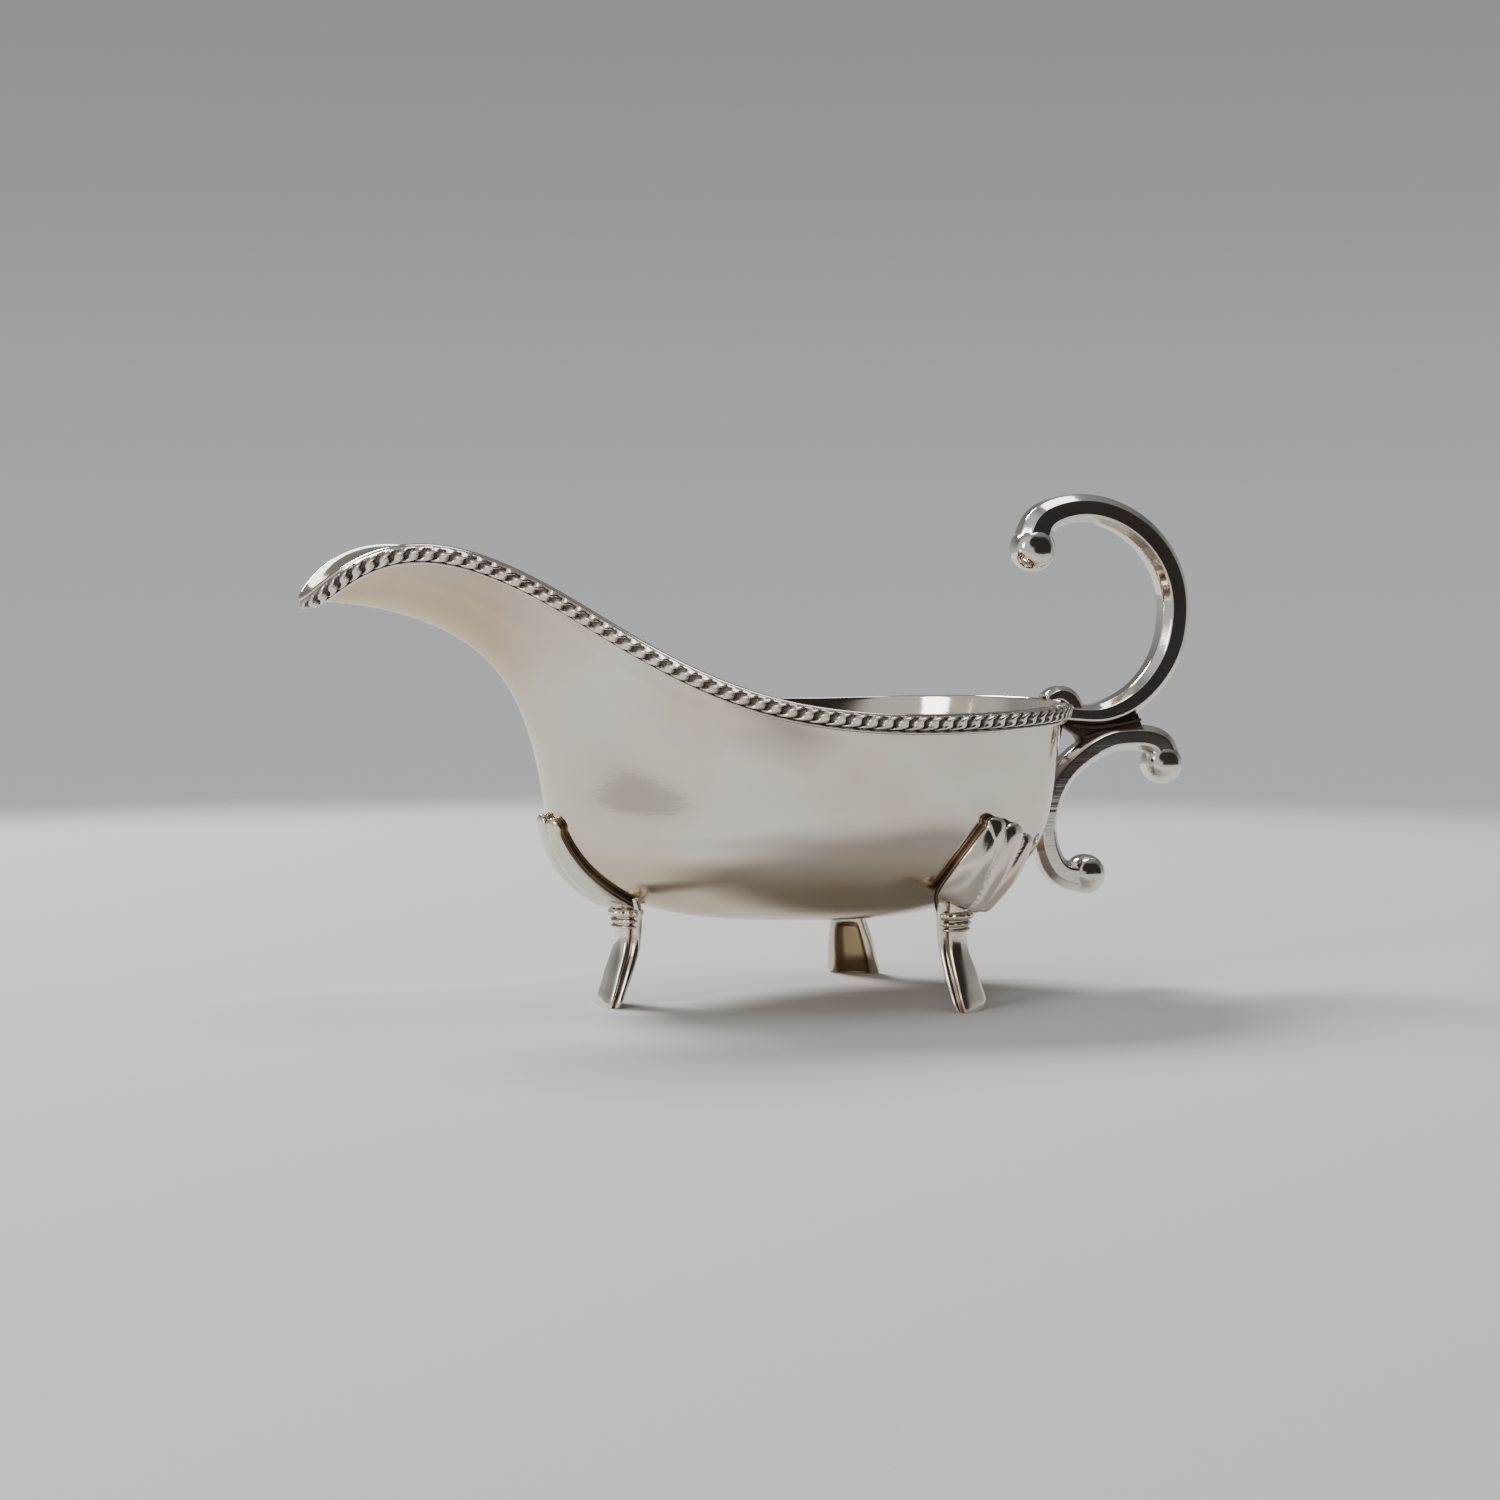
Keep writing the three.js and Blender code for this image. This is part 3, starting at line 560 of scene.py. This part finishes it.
class KneeSkin:
    """Maps the flat outline of a knee shell (u sideways, w upwards) onto the wall behind it."""

    def __init__(self, leg):
        self.leg = leg
        self.zs = np.linspace(18, 46, 57)
        self.ts = np.linspace(-14, 20, 69)
        reach = wall_reach(leg["root"], leg["knee"], self.zs, self.ts)
        over = np.clip((reach - KNEE_BACK) / KNEE_BLEND, -30, 30)
        back = KNEE_BACK + KNEE_BLEND * np.log1p(np.exp(over))
        self.table = np.maximum(back, reach)
        guide = np.array([np.interp(leg["middle"], self.ts, row) for row in self.table])
        inside = self.zs >= KNEE_BASE
        steps = np.hypot(np.diff(guide[inside]), np.diff(self.zs[inside]))
        self.guide_way = np.concatenate([[0], np.cumsum(steps)]) / leg["stretch"]
        self.guide_z = self.zs[inside]
        self.lean = math.radians(leg["lean"])

    def back(self, u, w):
        """Points of the shell's back."""
        u = u * self.leg["width"]
        t = u * math.cos(self.lean) + w * math.sin(self.lean)
        v = w * math.cos(self.lean) - u * math.sin(self.lean)
        z = np.where(v < 0, KNEE_BASE + v, np.interp(v, self.guide_way, self.guide_z))
        row = np.clip((z - self.zs[0]) / (self.zs[1] - self.zs[0]), 0, len(self.zs) - 1.001)
        column = np.clip((t - self.ts[0]) / (self.ts[1] - self.ts[0]), 0, len(self.ts) - 1.001)
        i, j = row.astype(int), column.astype(int)
        a, b = row - i, column - j
        reach = ((1 - a) * ((1 - b) * self.table[i, j] + b * self.table[i, j + 1])
                 + a * ((1 - b) * self.table[i + 1, j] + b * self.table[i + 1, j + 1]))
        outward, sideways = turned(self.leg["knee"])
        plan = np.array(self.leg["root"]) + reach[..., None] * outward + t[..., None] * sideways
        return np.concatenate([plan, z[..., None]], axis=-1)

    def normal(self, u, w):
        """Outward directions, from the slope over a step to each side."""
        step = 0.6
        along_u = self.back(u + step, w) - self.back(u - step, w)
        along_w = self.back(u, w + step) - self.back(u, w - step)
        normal = unit(np.cross(along_u, along_w))
        outward = np.append(turned(self.leg["knee"])[0], 0)
        return normal * np.sign(normal @ outward)[..., None]


def tip_arc(tip, turns):
    at, shoulder, half = tip
    rises = TIP_RISE * np.sin(turns) ** 0.9
    return np.stack([at + half * np.cos(turns), shoulder + rises], 1)


def knee_outline(count):
    """Closed outline (u, w) of the shell: rounded root, full sides and three lobe tips."""
    side = line_spline([(half, up, 0) for half, up in KNEE_SIDE], 60)[:, :2]
    side_tip = tip_arc(SIDE_TIP, np.linspace(0, math.pi, 22)[1:-1])
    middle_tip = tip_arc(MIDDLE_TIP, np.linspace(0, math.pi / 2, 12)[1:])
    right = np.concatenate([side, side_tip, middle_tip])
    loop = np.concatenate([right, (right * (-1, 1))[-2:0:-1]])
    closed = np.concatenate([loop, loop[:1]])
    lengths = np.concatenate([[0], np.cumsum(np.linalg.norm(np.diff(closed, axis=0), axis=1))])
    at = np.linspace(0, lengths[-1], count, endpoint=False)
    return np.stack([np.interp(at, lengths, closed[:, axis]) for axis in (0, 1)], 1)


def knee_thickness(leg, u, w, rho):
    """Thickness of the shell a share rho of the way to its edge: three lobes, and a lump at the root."""
    sides = np.array(KNEE_SIDE)
    half_width = np.interp(w, sides[:, 1], sides[:, 0])
    valley = np.minimum((w + 3.0) * VALLEY_SLOPE, half_width * 0.45)
    inner = np.abs(u) / np.maximum(valley, 0.3)
    outer = np.abs(np.abs(u) - (half_width + valley) / 2) / np.maximum((half_width - valley) / 2, 0.3)
    lobe = np.where(inner < 1, dome(inner), dome(outer))
    fade = eased(rise(w, 1.5, 7)) * (1 - 0.40 * eased(rise(w, 14, 9)))
    edge = math.sqrt(1 - rho ** 5)
    root = leg["swell"] * dome(u / 7.2) * np.exp(-((w - 4.5) / 7.5) ** 2)
    return KNEE_VALLEY + edge * (leg["relief"] * lobe * fade + root + 0.25)


def knee_body(leg):
    """Shell of a knee: polar rings over the front, ridges at the edge, and rings behind."""
    skin = KneeSkin(leg)
    outline = knee_outline(168)
    rings, recess = [], []
    for rho in np.concatenate([[0.03], np.linspace(0.08, 0.9, 20), [0.94, 0.97, 0.99]]):
        u, w = (KNEE_CENTRE + (outline - KNEE_CENTRE) * rho).T
        rings.append(skin.back(u, w) + skin.normal(u, w) * knee_thickness(leg, u, w, rho)[:, None])
        recess.append(np.zeros(len(u)))
    u, w = outline.T
    edge_back, edge_normal = skin.back(u, w), skin.normal(u, w)
    inward = unit(KNEE_CENTRE - outline)
    inside = skin.back(u + inward[:, 0], w + inward[:, 1]) - edge_back
    for share, way_in, deep in KNEE_EDGE:
        rings.append(edge_back + edge_normal * (KNEE_VALLEY + 0.1) * share + inside * way_in)
        recess.append(np.full(len(u), deep))
    # Back rings against the wall: painted shade as full recess, partly tarnish where the shell meets the
    # wall.
    for rho in (0.8, 0.5, 0.2, 0.03):
        u, w = (KNEE_CENTRE + (outline - KNEE_CENTRE) * rho).T
        rings.append(skin.back(u, w) + skin.normal(u, w) * 0.02)
        recess.append(np.ones(len(u)))
    return closed_body(np.array(rings)[::-1], np.array(recess)[::-1], [1.0, 0.0])


def shin_body(leg):
    """Lower leg: moulded front, grooved sides, hollow back, and a foot that spreads and is cut flat."""
    line = np.array(SHIN_LINE)
    line[0, 1] = leg["top"]
    knots = knots_from(line[None, :, :2])
    path = spline(knots, line, np.linspace(0, knots[-1], SHIN_STEPS))
    path[:, 1] = np.maximum(path[:, 1], 0)
    half = np.array(SHIN_SECTION)
    section = np.concatenate([half, (half * (1, -1))[-2:0:-1]])
    count = len(section)
    index = np.arange(count)
    at_back = (np.abs(section[:, 1]) < 0.7) & (index > HOLLOW_START) & (index < count - HOLLOW_START)
    closed = np.minimum(section[:, 0], -0.9 + 0.1 * np.abs(section[:, 1]))
    hollow = eased(rise(-path[:, 1], -HOLLOW_TOP, HOLLOW_FADE))
    grooves = [groove for near in SHIN_GROOVE for groove in (near, count - near)]
    outward, sideways = turned(leg["shin"])
    tangent = unit(np.gradient(path[:, :2], axis=0))
    loops = np.zeros((len(path), count, 3))
    recess = np.zeros((len(path), count))
    for k, (x, z, depth, width) in enumerate(path):
        place = section.copy()
        place[at_back, 0] = hollow[k] * section[at_back, 0] + (1 - hollow[k]) * closed[at_back]
        across = np.array([-tangent[k, 1], tangent[k, 0]])
        across = across * np.sign(across[0])
        across = unit(across * (1, min(1.0, z / 3.0)))
        out = x + place[:, 0] * depth * across[0]
        up = z + place[:, 0] * depth * across[1]
        loops[k, :, :2] = leg["root"] + out[:, None] * outward + (place[:, 1] * width)[:, None] * sideways
        loops[k, :, 2] = np.maximum(up, 0)
        # Painted shade: the hollow back and the side grooves are darkened.
        recess[k, at_back] = hollow[k] * HOLLOW_PAINTED_SHADE
        recess[k, grooves] = 0.9
    return closed_body(loops, recess, [0.0, 0.0])


def collar_body(leg, z, radius, height, reach, lobes):
    """Small leafy ring around the top of the shin."""
    outward, sideways = turned(leg["shin"])
    turn = np.linspace(0, 2 * math.pi, 96, endpoint=False)
    loops, recess = [], []
    for angle in np.linspace(-math.pi / 2, math.pi / 2, 11):
        swell = math.cos(angle)
        ripple = 1 + 0.05 * np.cos(lobes * turn) * swell
        out = COLLAR_FORWARD + (radius * 0.72 + reach * swell) * ripple * np.cos(turn)
        side = (radius + reach * swell) * ripple * np.sin(turn)
        level = np.full(len(turn), z + height * math.sin(angle))
        plan = leg["root"] + out[:, None] * outward + side[:, None] * sideways
        loops.append(np.concatenate([plan, level[:, None]], axis=1))
        # Painted shade in the folds above and below the collar's swell.
        recess.append(np.full(len(turn), 1 - swell) * 0.8)
    return closed_body(np.array(loops), np.array(recess), [0.5, 0.5])


def build_leg(name, leg, side=1):
    bodies = [knee_body(leg), shin_body(leg)] + [collar_body(leg, *collar) for collar in COLLARS]
    bodies = [(points + (SHIFT, 0, 0), faces, recess) for points, faces, recess in bodies]
    return join_bodies(name, bodies, side)


# ---- materials -------------------------------------------------------------------------------
# Noise textures: (scale, detail). The scratches are stretched along the part.
CLOUD_NOISE = (30, 5)
# The next noise breaks up the painted shade, tarnish and painted reflection that the recess carries.
PAINTED_LIGHT_TARNISH_NOISE = (160, 3)
HAZE_NOISE = (35, 4)
SCRATCH_NOISE = (420, 2)
SCRATCH_STRETCH = (0.12, 1, 2.2)
RIPPLE_NOISE = (28, 1)
CLOUD_TINT = (0.87, 0.83, 0.76)
RECESS_ROUGHNESS = 0.35
# Depths in metres of the scratches, and of the slow ripple of a raised and planished sheet.
SCRATCH_DEPTH = 0.00004
RIPPLE_DEPTH = 0.0003
RIPPLE = 0.35


def silver(name, base, warm, dark, roughness, haze, scratch):
    """Polished silver plate with cloudy tarnish, fine wipe marks and scratches.

    base is the open metal, warm a half deep recess and dark a deep one: painted shade, partly tarnish at
    the knees, and on the bowl warm is a painted golden reflection.
    """
    material = bpy.data.materials.new(name)
    material.use_nodes = True
    nodes, links = material.node_tree.nodes, material.node_tree.links
    shader = nodes["Principled BSDF"]
    shader.inputs["Metallic"].default_value = 1.0
    place = nodes.new("ShaderNodeTexCoord")

    def noise(scale, detail, stretch=(1, 1, 1)):
        mapping = nodes.new("ShaderNodeMapping")
        mapping.inputs["Scale"].default_value = stretch
        links.new(place.outputs["Object"], mapping.inputs["Vector"])
        texture = nodes.new("ShaderNodeTexNoise")
        texture.inputs["Scale"].default_value = scale
        texture.inputs["Detail"].default_value = detail
        links.new(mapping.outputs["Vector"], texture.inputs["Vector"])
        return texture.outputs["Fac"]

    def ramp(source, low, high, low_value=0.0, high_value=1.0):
        mapped = nodes.new("ShaderNodeMapRange")
        mapped.inputs["From Min"].default_value = low
        mapped.inputs["From Max"].default_value = high
        mapped.inputs["To Min"].default_value = low_value
        mapped.inputs["To Max"].default_value = high_value
        links.new(source, mapped.inputs["Value"])
        return mapped.outputs["Result"]

    def mix(factor, first, second):
        node = nodes.new("ShaderNodeMix")
        node.data_type = "RGBA"
        links.new(factor, node.inputs["Factor"])
        for value, socket in ((first, node.inputs[6]), (second, node.inputs[7])):
            if isinstance(value, tuple):
                socket.default_value = (*value, 1)
            else:
                links.new(value, socket)
        return node.outputs[2]

    cloud = ramp(noise(*CLOUD_NOISE), 0.40, 0.68)
    tint = tuple(b * t for b, t in zip(base, CLOUD_TINT))
    colour = mix(cloud, base, tint)
    recess = nodes.new("ShaderNodeAttribute")
    recess.attribute_name = "recess"
    # Painted shade in grooves and hollows (partly tarnish at the knees) and the bowl's painted golden
    # reflection: recess broken up by noise, mixed to warm, then to dark.
    painted_light_and_tarnish = nodes.new("ShaderNodeMath")
    painted_light_and_tarnish.operation = "MULTIPLY"
    links.new(recess.outputs["Fac"], painted_light_and_tarnish.inputs[0])
    links.new(ramp(noise(*PAINTED_LIGHT_TARNISH_NOISE), 0.2, 0.6, 0.8, 1.0), painted_light_and_tarnish.inputs[1])
    colour = mix(ramp(painted_light_and_tarnish.outputs["Value"], 0.0, 0.5), colour, warm)
    colour = mix(ramp(painted_light_and_tarnish.outputs["Value"], 0.5, 1.0), colour, dark)
    links.new(colour, shader.inputs["Base Color"])

    rough = nodes.new("ShaderNodeMath")
    rough.operation = "ADD"
    links.new(ramp(noise(*HAZE_NOISE), 0.3, 0.75, roughness, roughness + haze), rough.inputs[0])
    links.new(ramp(painted_light_and_tarnish.outputs["Value"], 0.0, 1.0, 0.0, RECESS_ROUGHNESS), rough.inputs[1])
    links.new(rough.outputs["Value"], shader.inputs["Roughness"])

    lines = ramp(noise(*SCRATCH_NOISE, SCRATCH_STRETCH), 0.35, 0.75)
    bump = nodes.new("ShaderNodeBump")
    bump.inputs["Strength"].default_value = scratch
    bump.inputs["Distance"].default_value = SCRATCH_DEPTH
    links.new(lines, bump.inputs["Height"])
    ripple = nodes.new("ShaderNodeBump")
    ripple.inputs["Strength"].default_value = RIPPLE
    ripple.inputs["Distance"].default_value = RIPPLE_DEPTH
    links.new(noise(*RIPPLE_NOISE), ripple.inputs["Height"])
    links.new(ripple.outputs["Normal"], bump.inputs["Normal"])
    links.new(bump.outputs["Normal"], shader.inputs["Normal"])
    return material


# warm and dark paint shade into recesses (partly tarnish at the knees); on the sheet, warm is the painted
# golden reflection.
SHEET_SILVER = silver("silver_sheet", base=(0.80, 0.745, 0.68), warm=(0.60, 0.48, 0.29),
                      dark=(0.30, 0.22, 0.14), roughness=0.05, haze=0.07, scratch=0.10)
BORDER_SILVER = silver("silver_border", base=(0.84, 0.81, 0.77), warm=(0.26, 0.22, 0.19),
                       dark=(0.03, 0.025, 0.022), roughness=0.12, haze=0.10, scratch=0.15)
CAST_SILVER = silver("silver_cast", base=(0.84, 0.81, 0.775), warm=(0.20, 0.14, 0.10),
                     dark=(0.05, 0.034, 0.026), roughness=0.06, haze=0.08, scratch=0.16)
LEG_SILVER = silver("silver_legs", base=(0.84, 0.80, 0.735), warm=(0.40, 0.30, 0.18),
                    dark=(0.06, 0.042, 0.032), roughness=0.07, haze=0.09, scratch=0.15)


def finish_piece(piece, material, node):
    piece.data.materials.append(material)
    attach(piece, "root")
    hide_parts(node)


finish_piece(build_bowl(), SHEET_SILVER, "bowl")
finish_piece(build_border("border_left", -1), BORDER_SILVER, "gadroon_border_left")
finish_piece(build_border("border_right", 1), BORDER_SILVER, "gadroon_border_right")
finish_piece(build_upper_scroll(), CAST_SILVER, "handle_upper_scroll")
finish_piece(build_lower_scroll(), CAST_SILVER, "handle_lower_scroll")
finish_piece(build_leg("leg_front", FRONT_LEG), LEG_SILVER, "front_leg")
finish_piece(build_leg("leg_rear_left", REAR_LEG), LEG_SILVER, "rear_leg_left")
finish_piece(build_leg("leg_rear_right", REAR_LEG, -1), LEG_SILVER, "rear_leg_right")


# ---- floor, light and camera -----------------------------------------------------------------
FLOOR_RADIUS = 640
FLOOR_SIDES = 96
FLOOR_COLOUR = (0.55, 0.545, 0.535, 1)
FADE_START = 0.72
FADE_END = 0.99
# World colours from straight down to straight up.
SKY = [(0.0, (0.20, 0.195, 0.185)), (0.46, (0.50, 0.505, 0.50)), (0.50, (0.47, 0.475, 0.47)),
       (0.56, (0.335, 0.337, 0.333)), (0.62, (0.27, 0.268, 0.26)), (0.72, (0.15, 0.148, 0.145)),
       (1.0, (0.30, 0.30, 0.30))]
PALE = (0.60, 0.59, 0.57, 1)
DIM = (0.035, 0.031, 0.028, 1)
# Sides of the room: direction, the closeness to it where the colour starts and is full, and colour.
ROOM_SIDES = [((-0.78, -0.62, 0.02), 0.35, 0.65, PALE), ((0.60, -0.79, 0.12), 0.76, 0.88, DIM),
              ((0.05, -0.88, 0.47), 0.88, 0.95, DIM)]
# Camera: its turn towards the spout in degrees, how far it is, how far off to the side and how
# high, in metres, then its sensor and lens in millimetres and the upward shift of the picture.
CAMERA_TURN = 20
CAMERA_DISTANCE = 0.700
CAMERA_SIDE = 0.0032
CAMERA_HEIGHT = 0.0944
SENSOR = 36
LENS = 77.904
PICTURE_SHIFT = -0.12667


def stage_material():
    """Pale matt floor that fades out towards its edge."""
    material = bpy.data.materials.new("pale_floor")
    material.use_nodes = True
    nodes, links = material.node_tree.nodes, material.node_tree.links
    shader = nodes["Principled BSDF"]
    shader.inputs["Base Color"].default_value = FLOOR_COLOUR
    shader.inputs["Roughness"].default_value = 0.8
    place = nodes.new("ShaderNodeTexCoord")
    distance = nodes.new("ShaderNodeVectorMath")
    distance.operation = "LENGTH"
    links.new(place.outputs["Object"], distance.inputs[0])
    fade = nodes.new("ShaderNodeMapRange")
    fade.interpolation_type = "SMOOTHSTEP"
    fade.inputs["From Min"].default_value = FLOOR_RADIUS * MM * FADE_START
    fade.inputs["From Max"].default_value = FLOOR_RADIUS * MM * FADE_END
    links.new(distance.outputs["Value"], fade.inputs["Value"])
    clear = nodes.new("ShaderNodeBsdfTransparent")
    blend = nodes.new("ShaderNodeMixShader")
    links.new(fade.outputs["Result"], blend.inputs["Fac"])
    links.new(shader.outputs["BSDF"], blend.inputs[1])
    links.new(clear.outputs["BSDF"], blend.inputs[2])
    links.new(blend.outputs["Shader"], nodes["Material Output"].inputs["Surface"])
    return material


def build_floor():
    turn = np.linspace(0, 2 * math.pi, FLOOR_SIDES, endpoint=False)
    points = np.stack([np.cos(turn), np.sin(turn), np.zeros(FLOOR_SIDES)], 1) * FLOOR_RADIUS
    floor = make_object("floor", points, [tuple(range(FLOOR_SIDES))])
    floor.data.materials.append(stage_material())


def area_light(name, place, target, size, power, colour=(1, 1, 1)):
    data = bpy.data.lights.new(name, "AREA")
    data.shape = "ELLIPSE"
    data.size, data.size_y = size
    data.energy = power
    data.color = colour
    light = bpy.data.objects.new(name, data)
    light.location = place
    direction = Vector(target) - Vector(place)
    light.rotation_euler = direction.to_track_quat("-Z", "Y").to_euler()
    bpy.context.scene.collection.objects.link(light)


def build_world():
    """Grey room: pale near the horizon and dim above, with a pale side at the spout and dark ones."""
    world = bpy.data.worlds.new("studio")
    bpy.context.scene.world = world
    world.use_nodes = True
    nodes, links = world.node_tree.nodes, world.node_tree.links
    background = nodes["Background"]
    place = nodes.new("ShaderNodeTexCoord")
    split = nodes.new("ShaderNodeSeparateXYZ")
    links.new(place.outputs["Generated"], split.inputs["Vector"])
    ramp = nodes.new("ShaderNodeValToRGB")
    while len(ramp.color_ramp.elements) < len(SKY):
        ramp.color_ramp.elements.new(0.5)
    for element, (position, colour) in zip(ramp.color_ramp.elements, SKY):
        element.position = position
        element.color = (*colour, 1)
    height = nodes.new("ShaderNodeMapRange")
    height.inputs["From Min"].default_value = -1
    height.inputs["From Max"].default_value = 1
    links.new(split.outputs["Z"], height.inputs["Value"])
    links.new(height.outputs["Result"], ramp.inputs["Fac"])

    colour = ramp.outputs["Color"]
    for way, start, full, side_colour in ROOM_SIDES:
        facing = nodes.new("ShaderNodeVectorMath")
        facing.operation = "DOT_PRODUCT"
        facing.inputs[1].default_value = way
        links.new(place.outputs["Generated"], facing.inputs[0])
        share = nodes.new("ShaderNodeMapRange")
        share.interpolation_type = "SMOOTHSTEP"
        share.inputs["From Min"].default_value = start
        share.inputs["From Max"].default_value = full
        links.new(facing.outputs["Value"], share.inputs["Value"])
        mix = nodes.new("ShaderNodeMix")
        mix.data_type = "RGBA"
        links.new(share.outputs["Result"], mix.inputs["Factor"])
        links.new(colour, mix.inputs[6])
        mix.inputs[7].default_value = side_colour
        colour = mix.outputs[2]
    links.new(colour, background.inputs["Color"])
    background.inputs["Strength"].default_value = 1.0


def build_camera():
    """Camera level with the boat's rim, turned towards the spout."""
    turn = math.radians(CAMERA_TURN)
    data = bpy.data.cameras.new("camera")
    data.sensor_width = SENSOR
    data.lens = LENS
    data.shift_y = PICTURE_SHIFT
    data.clip_start = 0.01
    camera = bpy.data.objects.new("camera", data)
    x = SHIFT * MM - math.sin(turn) * CAMERA_DISTANCE - math.cos(turn) * CAMERA_SIDE
    y = math.sin(turn) * CAMERA_SIDE - math.cos(turn) * CAMERA_DISTANCE
    camera.location = (x, y, CAMERA_HEIGHT)
    camera.rotation_euler = (math.pi / 2, 0, -turn)
    bpy.context.scene.collection.objects.link(camera)
    bpy.context.scene.camera = camera


build_floor()
build_world()
area_light("key", (-0.45, 0.95, 1.15), (0, 0, 0.02), (0.7, 0.6), 33, (1, 0.985, 0.965))
area_light("overhead", (0.2, -0.1, 1.5), (0, 0, 0), (1.1, 0.7), 8)
area_light("left", (-1.3, -0.7, 0.6), (0, 0, 0.05), (0.5, 0.7), 6, (1, 0.97, 0.93))
build_camera()
